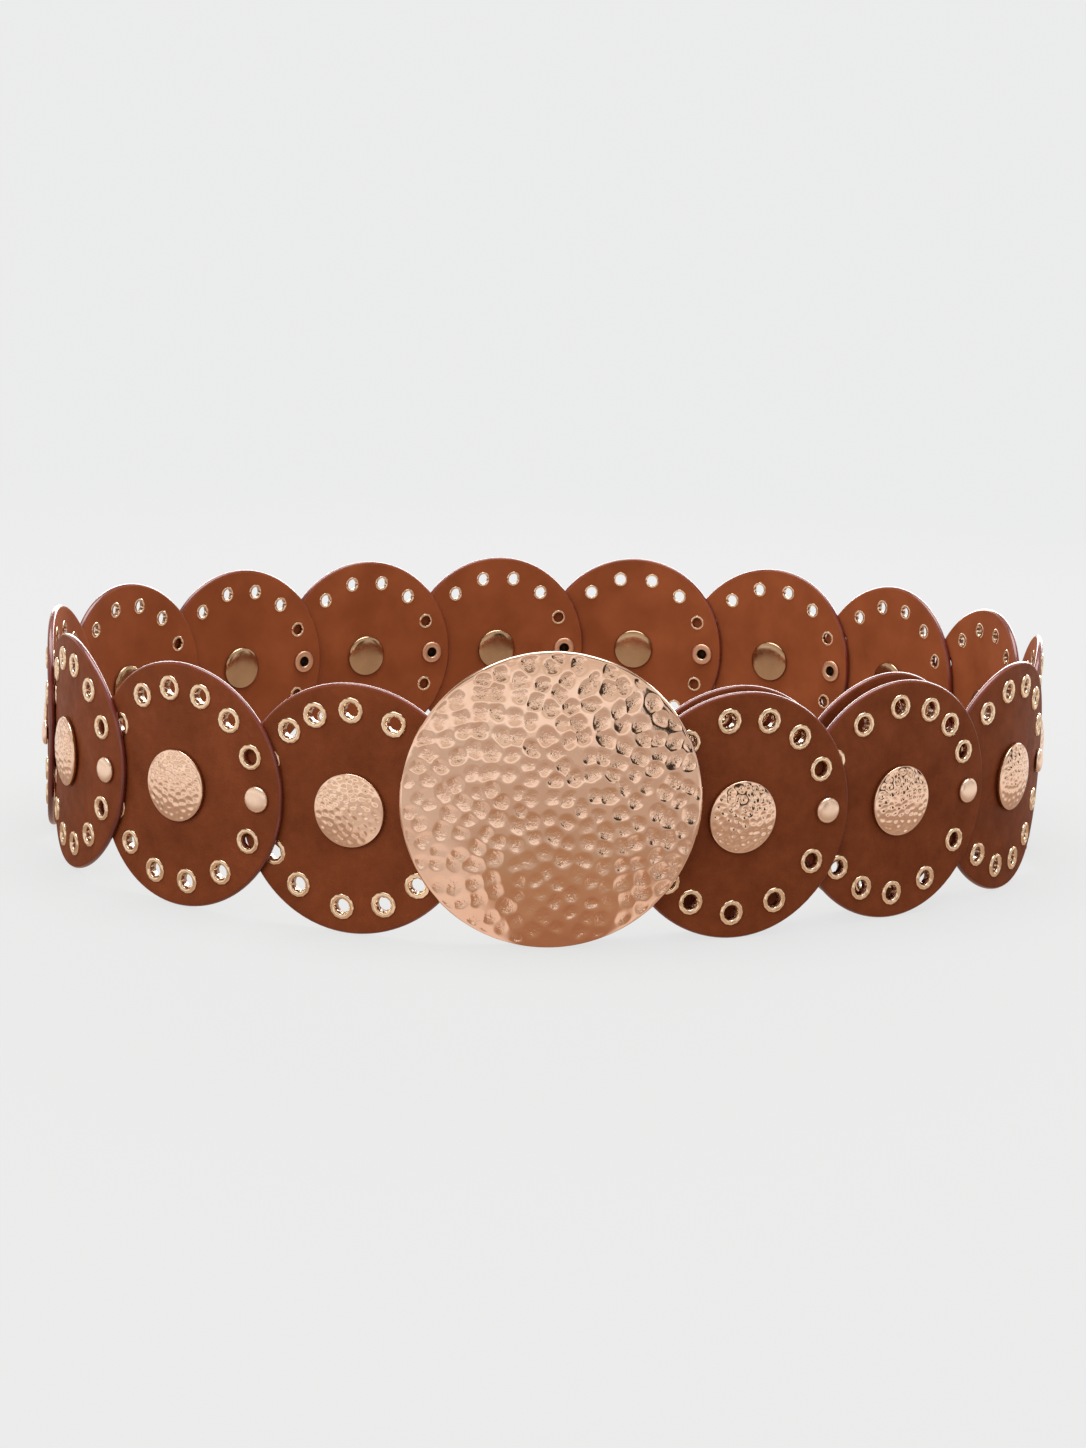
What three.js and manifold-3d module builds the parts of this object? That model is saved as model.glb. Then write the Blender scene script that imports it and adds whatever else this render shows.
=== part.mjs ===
import * as THREE from 'three';
import { mergeVertices } from 'three/addons/utils/BufferGeometryUtils.js';
import Module from 'manifold-3d';

const wasm = await Module();
wasm.setup();

// A belt of round leather discs, riveted edge over edge and closed by a large domed medallion buckle.
// It stands on its lower edges. Millimetres, +Z up, the buckle faces -Y.

// Leather discs
const discDiameter = 75;
const leather = 2;
const gap = 0.3;
const ringInset = 8;
const ringPlaces = 14;
const discCount = 19;
const discsInOneTurn = 17;
const discStrips = 11;

// Conchos at the middle of each disc
const conchoDiameter = 22;
const conchoEdge = 1;
const conchoHeight = 3;
const conchoShank = 3;
const conchoCapDiameter = 16;
const conchoCapHeight = 1.7;
const conchoCapClearance = 0.6;

// Rivets that link two discs
const rivetCapDiameter = 8;
const rivetCapHeight = 2;
const rivetShank = 2.4;
const rivetWasherDiameter = 8.6;
const rivetWasherHeight = 1.2;

// Eyelet holes
const eyeletBore = 4.8;
const eyeletBoreSides = 5;

// Buckle medallion
const buckleDiameter = 88;
const buckleSheet = 1.6;
const buckleRise = 6;
const buckleSetBack = 0.6;
const buckleSides = 28;
const postDiameter = 3;
const postHeadDiameter = 7;
const postHeadHeight = 1;
const postHole = 4.4;
const hookPlace = 5;
const hookNoseDiameter = 4;
const hookNoseHeight = 1.6;
const hookLean = 1.2;

// The loop seen from above, as eight marks that one smooth closed curve runs through
const loopMarks = [
  { place: 'buckle', x: 1, y: -154 },
  { place: 'front right', x: 137, y: -81 },
  { place: 'right', x: 166, y: 24 },
  { place: 'back right', x: 112, y: 121 },
  { place: 'back', x: 16, y: 154 },
  { place: 'back left', x: -100, y: 94 },
  { place: 'left', x: -166, y: -4 },
  { place: 'front left', x: -131, y: -109 },
];

// Middle of the belt's outline, which becomes the origin
const middle = { x: 0.37, y: -0.98 };

// The tail lies inside the first discs: how far out of the loop each one's leading rivet hole is
const tail = [
  { disc: 17, leading: -7.2 },
  { disc: 18, leading: -9.5 },
  { disc: 19, leading: -12 },
];

// The discs that face the viewer and the tail behind them have their eyelet holes cut here
const piercedDiscs = [1, 2, 3, 13, 14, 15, 16, 18, 19];

// The holes are punched by hand. These discs have theirs turned by so many degrees from the even places: the
// six of the upper half from the leading edge back, then the six of the lower half from the trailing edge on.
const punchedOff = [
  { disc: 1, upper: [0, 0, -2, -2, 0, 0], lower: [-6, -12, -18, -16, -13, -6] },
  { disc: 2, upper: [0, -3, -8, -9, -6, -3], lower: [-6, -11, -13, -14, -12, -6] },
  { disc: 15, upper: [-1, -2, -4, -6, -8, -4], lower: [-3, -5, -5, -5, -4, -1] },
  { disc: 16, upper: [8, 13, 14, 11, 5, 3], lower: [7, 5, 9, 9, 7, 4] },
];

const discRadius = discDiameter / 2;
const ringRadius = discRadius - ringInset;
const pitch = 2 * ringRadius;
const stack = leather + gap;
const loopLength = discsInOneTurn * pitch;
const up = new THREE.Vector3(0, 0, 1);

const leatherMaterial = new THREE.MeshStandardMaterial({ color: 0x5e3322, roughness: 0.5, metalness: 0 });
const conchoMaterial = new THREE.MeshStandardMaterial({ color: 0xd9a07c, roughness: 0.25, metalness: 1 });
const rivetMaterial = new THREE.MeshStandardMaterial({ color: 0xc99a78, roughness: 0.35, metalness: 1 });
const buckleMaterial = new THREE.MeshStandardMaterial({ color: 0xe0aa8a, roughness: 0.2, metalness: 1 });

// Loop curve, scaled so that its length is a whole number of disc spacings
const drawnLoop = new THREE.CatmullRomCurve3(
  loopMarks.map((mark) => new THREE.Vector3(mark.x, mark.y, 0)),
  true,
  'catmullrom',
  0.5,
);
drawnLoop.arcLengthDivisions = 2000;
const loopScale = loopLength / drawnLoop.getLength();

function loopFrame(station) {
  const turn = station / loopLength;
  const share = turn - Math.floor(turn);
  const point = drawnLoop.getPointAt(share).multiplyScalar(loopScale);
  point.x -= middle.x;
  point.y -= middle.y;
  const along = drawnLoop.getTangentAt(share);
  const outward = along.clone().cross(up);
  return { point, along, outward };
}

function curvature(station) {
  const before = loopFrame(station - ringRadius).along;
  const after = loopFrame(station + ringRadius).along;
  return before.angleTo(after) / pitch;
}

// Each disc's place on the loop. A tail disc lies deeper, where the loop is shorter, so it needs more of it.
function layOutDiscs() {
  const discs = [];
  for (let number = 1; number <= discCount; number += 1) {
    const previous = discs[number - 2] ?? { station: 0, stretch: 1, leading: stack / 2 };
    const tailRow = tail.find((row) => row.disc === number);
    const leading = tailRow ? tailRow.leading : stack / 2;
    const trailing = previous.leading - stack;
    const level = (leading + trailing) / 2;
    const sideStep = leading - trailing - stack;
    const stretch = 1 / (1 + level * curvature(previous.station + pitch));
    const station = previous.station + ringRadius * (previous.stretch + stretch);
    discs.push({ number, leading, level, sideStep, station, stretch });
  }
  return discs;
}

// How far out of the loop a disc's mid-layer is. Each disc leans from under its neighbour to over the next,
// and a tail disc also steps sideways between the two overlaps.
function discLevel(disc, along) {
  const clear = pitch - discRadius;
  const step = THREE.MathUtils.smoothstep(along, -clear, clear) - 0.5;
  return disc.level + (along / pitch) * stack + step * disc.sideStep;
}

// A point of a bent disc: millimetres along it from its middle, up from its middle, and out of its mid-layer
function onDisc(disc, along, height, out = 0) {
  const frame = loopFrame(disc.station + along * disc.stretch);
  const point = frame.point.addScaledVector(frame.outward, discLevel(disc, along) + out);
  point.z = discRadius + height;
  return point;
}

function discNormal(disc, along) {
  const step = 0.5;
  const before = onDisc(disc, along - step, 0);
  const after = onDisc(disc, along + step, 0);
  return after.sub(before).cross(up).normalize();
}

// Where a hole of the ring is, counted from the leading edge and up. The rivets' holes are at even places.
function ringPlace(disc, place) {
  const row = punchedOff.find((entry) => entry.disc === disc.number);
  const turned = row ? [0, ...row.upper, 0, ...row.lower][place] : 0;
  const angle = (place * 2 * Math.PI) / ringPlaces + THREE.MathUtils.degToRad(turned);
  return { along: ringRadius * Math.cos(angle), height: ringRadius * Math.sin(angle) };
}

function toSolid(geometry) {
  const bare = geometry.clone();
  bare.deleteAttribute('normal');
  bare.deleteAttribute('uv');
  const merged = mergeVertices(bare, 1e-4);
  const vertProperties = new Float32Array(merged.attributes.position.array);
  const triVerts = new Uint32Array(merged.index.array);
  return new wasm.Manifold(new wasm.Mesh({ numProp: 3, vertProperties, triVerts }));
}

function toGeometry(solid) {
  const mesh = solid.getMesh();
  const geometry = new THREE.BufferGeometry();
  geometry.setAttribute('position', new THREE.BufferAttribute(new Float32Array(mesh.vertProperties), 3));
  geometry.setIndex(new THREE.BufferAttribute(new Uint32Array(mesh.triVerts), 1));
  geometry.computeVertexNormals();
  return geometry;
}

// A straight cutter through a disc, square to the leather, whose flats are at the stated diameter
function holeCutter(disc, along, height, diameter, sides) {
  const radius = diameter / 2 / Math.cos(Math.PI / sides);
  const cutter = new THREE.CylinderGeometry(radius, radius, 3 * leather, sides);
  const turn = new THREE.Quaternion().setFromUnitVectors(new THREE.Vector3(0, 1, 0), discNormal(disc, along));
  cutter.applyQuaternion(turn);
  const place = onDisc(disc, along, height);
  cutter.translate(place.x, place.y, place.z);
  return toSolid(cutter);
}

// A flat slab in vertical strips, whose corners are moved onto the round outline and then onto the loop
function bentBlank(disc) {
  const slab = new THREE.BoxGeometry(1, 1, leather, discStrips, 1, 1);
  const corners = slab.attributes.position;
  const halfSide = Math.PI / (2 * (discStrips + 1));
  const cornerRadius = discRadius / Math.cos(halfSide);
  for (let i = 0; i < corners.count; i += 1) {
    const column = Math.round((0.5 - corners.getX(i)) * discStrips);
    const angle = (2 * column + 1) * halfSide;
    const along = cornerRadius * Math.cos(angle);
    const height = Math.sign(corners.getY(i)) * cornerRadius * Math.sin(angle);
    const place = onDisc(disc, along, height, corners.getZ(i));
    corners.setXYZ(i, place.x, place.y, place.z);
  }
  return toSolid(slab);
}

function makeDisc(disc) {
  let solid = bentBlank(disc);
  const cuts = [{ along: 0, height: 0, diameter: conchoShank + 2 * gap, sides: 6 }];
  for (let place = 0; place < ringPlaces; place += 1) {
    const isLeading = place === 0;
    const isTrailing = place === ringPlaces / 2;
    const holdsPost = isTrailing && disc.number === 1;
    const holdsRivet = (isLeading && disc.number < discCount) || (isTrailing && !holdsPost);
    const holdsHook = place === hookPlace && disc.number === discsInOneTurn;
    let diameter = eyeletBore;
    let sides = eyeletBoreSides;
    if (holdsRivet) {
      diameter = rivetShank + 2 * gap;
      sides = 6;
    }
    if (holdsPost) {
      diameter = postHole;
      sides = 8;
    }
    if (holdsHook) sides = 8;
    if (holdsRivet || holdsPost || holdsHook || piercedDiscs.includes(disc.number)) {
      cuts.push({ ...ringPlace(disc, place), diameter, sides });
    }
  }
  for (const cut of cuts) {
    solid = solid.subtract(holeCutter(disc, cut.along, cut.height, cut.diameter, cut.sides));
  }
  return new THREE.Mesh(toGeometry(solid), leatherMaterial.clone());
}

// A turned piece about +Y, from profile corners listed from its inner end to its outer end
function turned(corners, sides) {
  const profile = corners.map(([radius, height]) => new THREE.Vector2(radius, height));
  return new THREE.LatheGeometry(profile, sides);
}

function makeConchoGeometry() {
  const inner = -leather / 2 - conchoCapClearance;
  const outer = leather / 2 + gap;
  const radius = conchoDiameter / 2;
  const capRadius = conchoCapDiameter / 2;
  const corners = [
    [0, inner - conchoCapHeight],
    [0.65 * capRadius, inner - 0.8 * conchoCapHeight],
    [capRadius, inner],
    [conchoShank / 2, inner],
    [conchoShank / 2, outer],
    [radius, outer],
    [radius, outer + conchoEdge],
    [0.6 * radius, outer + conchoEdge + 0.7 * (conchoHeight - conchoEdge)],
    [0, outer + conchoHeight],
  ];
  return turned(corners, 10);
}

function makeRivetGeometry() {
  const face = leather + gap / 2 + gap;
  const capRadius = rivetCapDiameter / 2;
  const washerRadius = rivetWasherDiameter / 2;
  const corners = [
    [0, -face - rivetWasherHeight],
    [washerRadius, -face],
    [rivetShank / 2, -face],
    [rivetShank / 2, face],
    [capRadius, face],
    [0.75 * capRadius, face + 0.7 * rivetCapHeight],
    [0, face + rivetCapHeight],
  ];
  return turned(corners, 8);
}

function placeOnDisc(mesh, disc, along, out) {
  mesh.position.copy(onDisc(disc, along, 0, out));
  mesh.quaternion.setFromUnitVectors(new THREE.Vector3(0, 1, 0), discNormal(disc, along));
}

// Height of the medallion's inner face over its rim plane, at a distance from its middle
function dishHeight(distance) {
  const share = distance / (buckleDiameter / 2);
  return buckleRise * (1 - share * share);
}

function makeMedallionPlate() {
  const radius = buckleDiameter / 2 / Math.cos(Math.PI / buckleSides);
  const rings = [0, 0.4, 0.7];
  const rim = 0.95 * radius;
  const innerFace = rings.map((share) => [share * radius, dishHeight(share * radius)]);
  const outerFace = rings.map((share) => [share * radius, dishHeight(share * radius) + buckleSheet]);
  const corners = [
    ...innerFace,
    [rim, dishHeight(rim)],
    [rim, 0],
    [radius, 0],
    [radius, buckleSheet],
    ...outerFace.reverse(),
  ];
  const plate = turned(corners, buckleSides);
  plate.rotateY(Math.PI / buckleSides);
  return plate;
}

// A round bar square to a disc's leather, from one height over its mid-layer to another
function bar(disc, place, low, high, diameter, sides) {
  const cylinder = new THREE.CylinderGeometry(diameter / 2, diameter / 2, high - low, sides);
  cylinder.translate(0, (low + high) / 2, 0);
  const normal = discNormal(disc, place.along);
  cylinder.applyQuaternion(new THREE.Quaternion().setFromUnitVectors(new THREE.Vector3(0, 1, 0), normal));
  const foot = onDisc(disc, place.along, place.height);
  cylinder.translate(foot.x, foot.y, foot.z);
  return toSolid(cylinder);
}

function makeBuckle(discs) {
  const front = loopFrame(0);
  const place = new THREE.Matrix4().makeBasis(front.along, front.outward, up.clone().negate());
  const middlePoint = front.point.clone().addScaledVector(front.outward, -buckleSetBack);
  middlePoint.z = buckleDiameter / 2;
  place.setPosition(middlePoint);

  // How far it is from a disc's mid-layer to the middle of the medallion's sheet
  function reachToPlate(disc, spot) {
    const local = onDisc(disc, spot.along, spot.height).applyMatrix4(place.clone().invert());
    return dishHeight(Math.hypot(local.x, local.z)) + buckleSheet / 2 - local.y;
  }

  const firstDisc = discs[0];
  const post = ringPlace(firstDisc, ringPlaces / 2);
  const postEnd = -leather / 2 - gap;
  const postTop = reachToPlate(firstDisc, post);

  const tailDisc = discs[discsInOneTurn - 1];
  const hook = ringPlace(tailDisc, hookPlace);
  const hookEnd = -leather / 2 - gap;
  const hookTop = reachToPlate(tailDisc, hook);
  const nose = { along: hook.along + hookLean, height: hook.height };

  const solid = toSolid(makeMedallionPlate().applyMatrix4(place))
    .add(bar(firstDisc, post, postEnd - postHeadHeight / 2, postTop, postDiameter, 10))
    .add(bar(firstDisc, post, postEnd - postHeadHeight, postEnd, postHeadDiameter, 10))
    .add(bar(tailDisc, hook, hookEnd - hookNoseHeight / 2, hookTop, postDiameter, 10))
    .add(bar(tailDisc, nose, hookEnd - hookNoseHeight, hookEnd, hookNoseDiameter, 10));
  const buckle = new THREE.Mesh(toGeometry(solid), buckleMaterial.clone());
  buckle.name = 'buckle_medallion';
  return buckle;
}

function numbered(name, number) {
  return `${name}_${String(number).padStart(2, '0')}`;
}

const belt = new THREE.Group();
const discs = layOutDiscs();
const conchoGeometry = makeConchoGeometry();
const rivetGeometry = makeRivetGeometry();

for (const disc of discs) {
  const leatherDisc = makeDisc(disc);
  leatherDisc.name = numbered('leather_disc', disc.number);
  belt.add(leatherDisc);

  const concho = new THREE.Mesh(conchoGeometry, conchoMaterial.clone());
  concho.name = numbered('concho', disc.number);
  placeOnDisc(concho, disc, 0, 0);
  belt.add(concho);

  if (disc.number < discCount) {
    const rivet = new THREE.Mesh(rivetGeometry, rivetMaterial.clone());
    rivet.name = numbered('link_rivet', disc.number);
    placeOnDisc(rivet, disc, ringRadius, -stack / 2);
    belt.add(rivet);
  }
}

belt.add(makeBuckle(discs));

export default belt;
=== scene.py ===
# %% [markdown]
# A belt of round leather discs, riveted edge over edge and closed by a large hammered medallion. On the
# real belt every disc is stamped from flat leather, punched all round, set with eyelets, and given a
# hammered stud in its middle. The chain of discs then bends round the waist. This lesson makes the pieces
# in that order: first the flat blank, then its bend, then the metal that is set into it.
#
# Everything is in metres, +Z up, and the medallion faces -Y.

# %% The frame that every piece is fitted to
import math
import random
from bisect import bisect_right

import bmesh
import bpy
from mathutils import Matrix, Vector, geometry, kdtree, noise


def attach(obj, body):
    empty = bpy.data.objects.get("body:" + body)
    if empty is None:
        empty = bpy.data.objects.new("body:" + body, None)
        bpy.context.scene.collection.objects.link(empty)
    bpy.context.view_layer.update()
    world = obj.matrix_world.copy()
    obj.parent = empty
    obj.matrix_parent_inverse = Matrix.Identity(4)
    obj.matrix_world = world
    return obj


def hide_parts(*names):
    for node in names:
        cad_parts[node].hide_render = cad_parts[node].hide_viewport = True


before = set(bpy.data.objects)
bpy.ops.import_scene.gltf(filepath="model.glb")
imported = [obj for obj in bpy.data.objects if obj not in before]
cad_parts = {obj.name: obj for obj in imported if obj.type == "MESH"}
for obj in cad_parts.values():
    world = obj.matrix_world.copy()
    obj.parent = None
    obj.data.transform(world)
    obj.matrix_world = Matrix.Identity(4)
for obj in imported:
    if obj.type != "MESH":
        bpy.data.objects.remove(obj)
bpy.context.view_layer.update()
mm = 0.001
print("nodes in the frame:", len(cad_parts))

# %% [markdown]
# The camera comes first, because it decides how much of each piece will be seen. The picture was taken a
# little above the belt and less than a metre away, with the whole belt turned slightly clockwise in it. A
# camera that turns the other way by the same angle gives that lean, so the belt itself stands level.

# %% Camera
camera_target = Vector((-2.7, 1.0, 35.3)) * mm
camera_distance = 853 * mm
camera_rise = math.radians(11.36)
camera_lean = math.radians(2.21)
camera_lens = 60.16
camera_sensor = 36
nearest_seen = 10 * mm

view_axis = Vector((0, -math.cos(camera_rise), math.sin(camera_rise)))
camera = bpy.data.objects.new("camera", bpy.data.cameras.new("camera"))
camera.data.lens = camera_lens
camera.data.sensor_width = camera_sensor
camera.data.clip_start = nearest_seen
camera.location = camera_target + camera_distance * view_axis
facing = view_axis.to_track_quat("Z", "Y").to_matrix().to_4x4()
camera.rotation_euler = (facing @ Matrix.Rotation(camera_lean, 4, "Z")).to_euler()
bpy.context.scene.collection.objects.link(camera)
bpy.context.scene.camera = camera
bpy.context.scene.view_settings.view_transform = "Standard"
print("camera at", [round(c, 3) for c in camera.location])

# %% [markdown]
# The sizes below are the belt maker's own: a 75 mm disc of 2 mm leather, fourteen holes punched 8 mm in
# from the edge, and a hole shared by each two neighbours. The path of the belt is a closed curve through
# eight marks, seen from above. It is scaled until seventeen discs make one turn, and then moved until the
# middle of the whole belt is half a millimetre from the origin.

# %% Sizes of the belt and its path
disc_radius = 37.5 * mm
leather = 2 * mm
gap = 0.3 * mm
ring_inset = 8 * mm
ring_radius = disc_radius - ring_inset
ring_places = 14
disc_count = 19
discs_in_one_turn = 17
pitch = 2 * ring_radius
stack = leather + gap
loop_length = discs_in_one_turn * pitch

loop_marks = {
    "buckle": (1, -154),
    "front right": (137, -81),
    "right": (166, 24),
    "back right": (112, 121),
    "back": (16, 154),
    "back left": (-100, 94),
    "left": (-166, -4),
    "front left": (-131, -109),
}
middle = Vector((0.37, -0.98, 0)) * mm
samples_per_mark = 250


def sample_loop():
    """Points and running lengths of the smooth closed curve through the marks."""
    marks = [Vector((x, y, 0)) * mm for x, y in loop_marks.values()]
    points = []
    for number, start in enumerate(marks):
        before = marks[number - 1]
        end = marks[(number + 1) % len(marks)]
        after = marks[(number + 2) % len(marks)]
        leave = start + (end - before) / 6
        arrive = end - (after - start) / 6
        points += geometry.interpolate_bezier(start, leave, arrive, end, samples_per_mark + 1)[:-1]
    points.append(points[0])
    lengths = [0.0]
    for a, b in zip(points, points[1:]):
        lengths.append(lengths[-1] + (b - a).length)
    scale = loop_length / lengths[-1]
    return [p * scale - middle for p in points], [length * scale for length in lengths]


loop_points, loop_lengths = sample_loop()
print("loop length", round(loop_lengths[-1] / mm), "mm through", len(loop_marks), "marks")

# %% [markdown]
# A disc's place is its station on that curve. Each disc leans from under its neighbour to over the next,
# like a fallen row of cards. The last three slip inside the first ones as the belt's tail, and tail_levels
# says how far out of the curve their leading holes lie. The functions here turn "so far along the disc, so
# far up, so far out of it" into a point in space. They are what bends a flat blank, and they also say
# where each rivet and stud sits and which way it faces.

# %% From a disc's own directions to a point in space
up = Vector((0, 0, 1))


def loop_frame(station):
    """Point, direction along and direction outward at a length along the loop."""
    length = station % loop_length
    number = min(bisect_right(loop_lengths, length), len(loop_lengths) - 1)
    share = (length - loop_lengths[number - 1]) / (loop_lengths[number] - loop_lengths[number - 1])
    last = len(loop_points) - 1
    a, b = loop_points[number - 1], loop_points[number]
    before, after = loop_points[(number - 2) % last], loop_points[(number + 1) % last]
    along = (b - before).normalized().lerp((after - a).normalized(), share).normalized()
    return a.lerp(b, share), along, along.cross(up)


def curvature(station):
    before = loop_frame(station - ring_radius)[1]
    after = loop_frame(station + ring_radius)[1]
    return before.angle(after) / pitch


def smoothstep(value, low, high):
    share = min(max((value - low) / (high - low), 0.0), 1.0)
    return share * share * (3 - 2 * share)


tail_levels = {17: -7.2 * mm, 18: -9.5 * mm, 19: -12 * mm}


def lay_out_discs():
    """Station and lean of every disc. A tail disc lies deeper, where the loop is shorter."""
    rows = []
    station, last_stretch, last_leading = 0.0, 1.0, stack / 2
    for number in range(1, disc_count + 1):
        leading = tail_levels.get(number, stack / 2)
        trailing = last_leading - stack
        level = (leading + trailing) / 2
        stretch = 1 / (1 + level * curvature(station + pitch))
        station += ring_radius * (last_stretch + stretch)
        side_step = leading - trailing - stack
        rows.append({"number": number, "station": station, "level": level, "stretch": stretch,
                     "side_step": side_step})
        last_stretch, last_leading = stretch, leading
    return rows


def on_disc(disc, along, height, out=0.0):
    """A point of a bent disc, from its middle: along it, up it, and out of its mid-layer."""
    point, _, outward = loop_frame(disc["station"] + along * disc["stretch"])
    clear = pitch - disc_radius
    step = smoothstep(along, -clear, clear) - 0.5
    level = disc["level"] + along / pitch * stack + step * disc["side_step"]
    point = point + outward * (level + out)
    point.z = disc_radius + height
    return point


def place_on_disc(disc, along, height=0.0, out=0.0):
    """Matrix that stands a piece on a disc: its X runs along the disc, its Y up and its Z out."""
    step = 0.5 * mm
    here = on_disc(disc, along, height)
    x = (on_disc(disc, along + step, height) - on_disc(disc, along - step, height)).normalized()
    z = x.cross(up)
    turn = Matrix((x, up, z)).transposed().to_4x4()
    return Matrix.Translation(here + z * out) @ turn


discs = lay_out_discs()
tail_reach = (discs[-1]["station"] - loop_length) / mm
print("discs:", len(discs), "and the tail reaches", round(tail_reach), "mm past the start")

# %% [markdown]
# The holes are punched by hand, so they are a little off their even places. The table gives, for the discs
# that face the viewer, how many degrees each hole is turned from its place: the six of the upper half from
# the leading edge back, then the six of the lower half from the trailing edge on.

# %% Hand-punched holes
place_angle = 2 * math.pi / ring_places
trailing_place = ring_places // 2
punched_off = {
    1: ([0, 0, -2, -2, 0, 0], [-6, -12, -18, -16, -13, -6]),
    2: ([0, -3, -8, -9, -6, -3], [-6, -11, -13, -14, -12, -6]),
    15: ([-1, -2, -4, -6, -8, -4], [-3, -5, -5, -5, -4, -1]),
    16: ([8, 13, 14, 11, 5, 3], [7, 5, 9, 9, 7, 4]),
}


def hole_angle(disc, place):
    """Angle of a hole round its disc, from the leading edge and up."""
    upper, lower = punched_off.get(disc["number"], ([0] * 6, [0] * 6))
    turned = [0, *upper, 0, *lower]
    return place * place_angle + math.radians(turned[place])


def hole_place(disc, place):
    angle = hole_angle(disc, place)
    return ring_radius * math.cos(angle), ring_radius * math.sin(angle)


print("discs with holes read off the picture:", sorted(punched_off))

# %% [markdown]
# Nodes make every finish here. A small helper keeps the material cells short: it adds a node, sets its
# plain values, and joins its inputs to the nodes that feed them. All patterns read Object coordinates. The
# pieces sit unturned at the origin, so a pattern is fixed in the material and doesn't slide. A Mix node
# has sockets for numbers, vectors and colours under the same names, so its colour sockets are asked for by
# number.

# %% Helpers for materials
first_colour, second_colour, mixed_colour = 6, 7, 2


def add_node(tree, kind, inputs=None, **values):
    """Add a node. Inputs take plain values or other nodes' outputs, and values may also be properties."""
    node = tree.nodes.new(kind)
    for key, value in values.items():
        if hasattr(node, key):
            setattr(node, key, value)
        else:
            node.inputs[key.replace("_", " ")].default_value = value
    for key, value in (inputs or {}).items():
        if isinstance(value, bpy.types.NodeSocket):
            tree.links.new(value, node.inputs[key])
        else:
            node.inputs[key].default_value = value
    return node


def add_ramp(tree, factor, *stops):
    """Colour ramp from (place, colour) stops; a single number is a grey."""
    node = add_node(tree, "ShaderNodeValToRGB", {"Fac": factor})
    ramp = node.color_ramp
    while len(ramp.elements) < len(stops):
        ramp.elements.new(1.0)
    for element, (place, colour) in zip(ramp.elements, stops):
        element.position = place
        element.color = (*colour, 1) if isinstance(colour, tuple) else (colour, colour, colour, 1)
    return node.outputs["Color"]


def add_noise(tree, vector, scale, detail=3.0, roughness=0.55):
    inputs = {"Vector": vector, "Scale": scale, "Detail": detail, "Roughness": roughness}
    return add_node(tree, "ShaderNodeTexNoise", inputs).outputs["Fac"]


def add_bump(tree, height, distance, strength, normal=None):
    inputs = {"Height": height, "Distance": distance, "Strength": strength}
    if normal:
        inputs["Normal"] = normal
    return add_node(tree, "ShaderNodeBump", inputs).outputs["Normal"]


def add_blend(tree, factor, first, second):
    """Mix of two colours: the first where the factor is 0, the second where it is 1."""
    inputs = {"Factor": factor, first_colour: first, second_colour: second}
    return add_node(tree, "ShaderNodeMix", inputs, data_type="RGBA").outputs[mixed_colour]


def add_range(tree, value, low, high, kind="LINEAR"):
    """0 where the value is low and 1 where it is high."""
    inputs = {"Value": value, "From Min": low, "From Max": high}
    return add_node(tree, "ShaderNodeMapRange", inputs, interpolation_type=kind).outputs["Result"]


def finish_material(tree, colour, roughness, normal, **values):
    """The surface shader and the output."""
    inputs = {"Base Color": colour, "Roughness": roughness, "Normal": normal}
    shader = add_node(tree, "ShaderNodeBsdfPrincipled", inputs, **values)
    add_node(tree, "ShaderNodeOutputMaterial", {"Surface": shader.outputs["BSDF"]})


def start_material(name):
    """A new material, its nodes and its Object coordinates."""
    material = bpy.data.materials.new(name)
    material.use_nodes = True
    tree = material.node_tree
    tree.nodes.clear()
    return material, tree, add_node(tree, "ShaderNodeTexCoord").outputs["Object"]


print("material helpers ready")

# %% [markdown]
# The outside of the leather is smooth, close-grained and hardly shiny. Its colour drifts a little between
# two browns over a centimetre or so, with paler fibres showing faintly where it was stretched. The grain
# is two bumps: small pores from a Voronoi pattern, and soft creases from a noise that a Mapping node
# stretches. The specular level is low, because a wax finish shines less than bare plastic, and the brown
# stays deep.

# %% Outside leather
chestnut = [(0.3, (0.16, 0.039, 0.0125)), (0.5, (0.205, 0.052, 0.0175)), (0.7, (0.252, 0.067, 0.024))]
pale_fibre = (0.265, 0.075, 0.028, 1)
fibre_direction = {"Rotation": (0.3, 0.5, 0.2), "Scale": (1, 1, 4.5)}


def make_leather_outside():
    material, tree, place = start_material("chestnut_leather")
    drift = add_noise(tree, place, scale=85, detail=7.0, roughness=0.68)
    stretched = add_node(tree, "ShaderNodeMapping", {"Vector": place, **fibre_direction}).outputs["Vector"]
    fibres = add_noise(tree, stretched, scale=330, detail=6.0, roughness=0.65)
    paleness = add_ramp(tree, fibres, (0.56, 0.0), (0.8, 0.26))
    colour = add_blend(tree, paleness, add_ramp(tree, drift, *chestnut), pale_fibre)
    pore_cells = {"Vector": place, "Scale": 1150}
    pores = add_node(tree, "ShaderNodeTexVoronoi", pore_cells, feature="DISTANCE_TO_EDGE")
    pore_height = add_ramp(tree, pores.outputs["Distance"], (0.0, 0.0), (0.22, 1.0))
    normal = add_bump(tree, pore_height, distance=0.05 * mm, strength=0.3)
    normal = add_bump(tree, fibres, distance=0.12 * mm, strength=0.35, normal=normal)
    normal = add_bump(tree, drift, distance=0.6 * mm, strength=0.25, normal=normal)
    roughness = add_ramp(tree, add_noise(tree, place, scale=240), (0.3, 0.5), (0.7, 0.64))
    finish_material(tree, colour, roughness, normal, Specular_IOR_Level=0.1)
    return material


# %% [markdown]
# The inside is the same hide from the flesh side, sealed but more orange, with a duller surface and a
# faint nap. The cut edge is painted and burnished: a deep wine red under a clear coat, so it catches a
# bright line of light along the top of every disc.

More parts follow.
